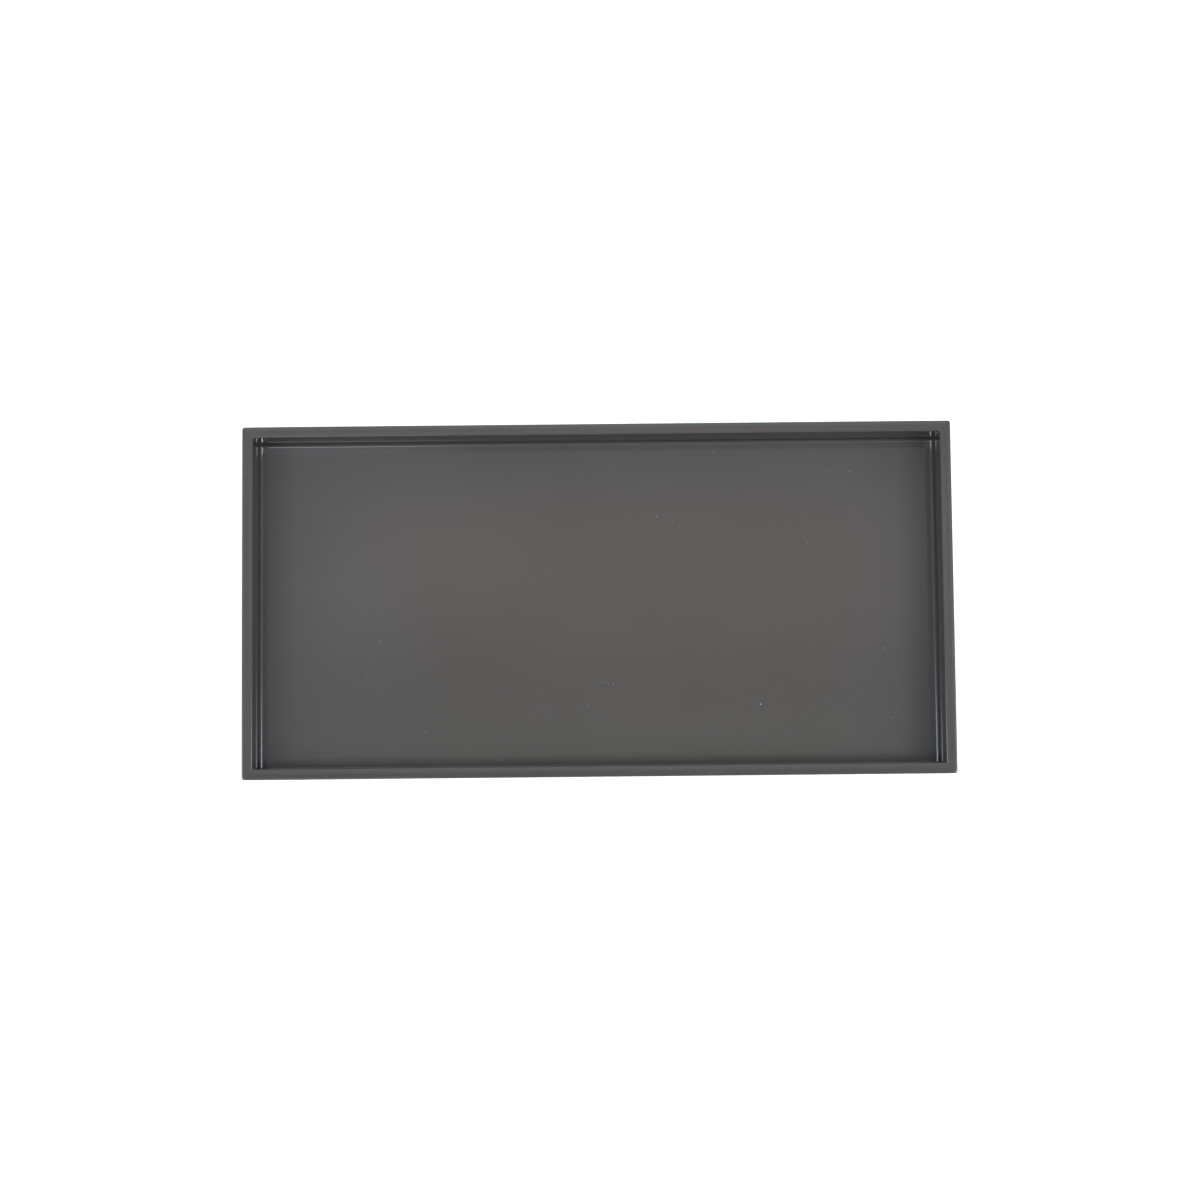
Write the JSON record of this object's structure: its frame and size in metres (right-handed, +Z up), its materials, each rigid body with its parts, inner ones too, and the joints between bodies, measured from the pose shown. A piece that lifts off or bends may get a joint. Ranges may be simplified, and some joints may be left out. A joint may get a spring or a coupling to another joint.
{
  "type": "lacquer tray",
  "caption": "Long rectangular tray with thin upright walls, mitred corners, a flat glossy floor let into the rails, and felt feet below.",
  "frame": {"origin": "on the surface the tray stands on, under the middle of the tray", "axes": "+X along the tray's length, +Y towards the far long side in the picture, +Z up"},
  "size_m": [0.406, 0.202, 0.0385],
  "materials": {
    "charcoal_lacquer": "high-gloss charcoal grey lacquer over fibreboard",
    "beech": "bare beech, sawn and glued",
    "steel_pin": "bright drawn wire",
    "felt": "black pressed felt"
  },
  "bodies": {
    "root": {"base_panel": "charcoal_lacquer", "front_rail": "charcoal_lacquer", "back_rail": "charcoal_lacquer", "left_rail": "charcoal_lacquer", "right_rail": "charcoal_lacquer", "mitre_key_front_left": "beech", "mitre_key_front_right": "beech", "mitre_key_back_left": "beech", "mitre_key_back_right": "beech", "panel_pin_front_1": "steel_pin", "panel_pin_front_2": "steel_pin", "panel_pin_front_3": "steel_pin", "panel_pin_front_4": "steel_pin", "panel_pin_front_5": "steel_pin", "panel_pin_back_1": "steel_pin", "panel_pin_back_2": "steel_pin", "panel_pin_back_3": "steel_pin", "panel_pin_back_4": "steel_pin", "panel_pin_back_5": "steel_pin", "panel_pin_left_1": "steel_pin", "panel_pin_left_2": "steel_pin", "panel_pin_left_3": "steel_pin", "panel_pin_right_1": "steel_pin", "panel_pin_right_2": "steel_pin", "panel_pin_right_3": "steel_pin", "felt_foot_front_left": "felt", "felt_foot_front_right": "felt", "felt_foot_back_left": "felt", "felt_foot_back_right": "felt"}
  },
  "joints": []
}
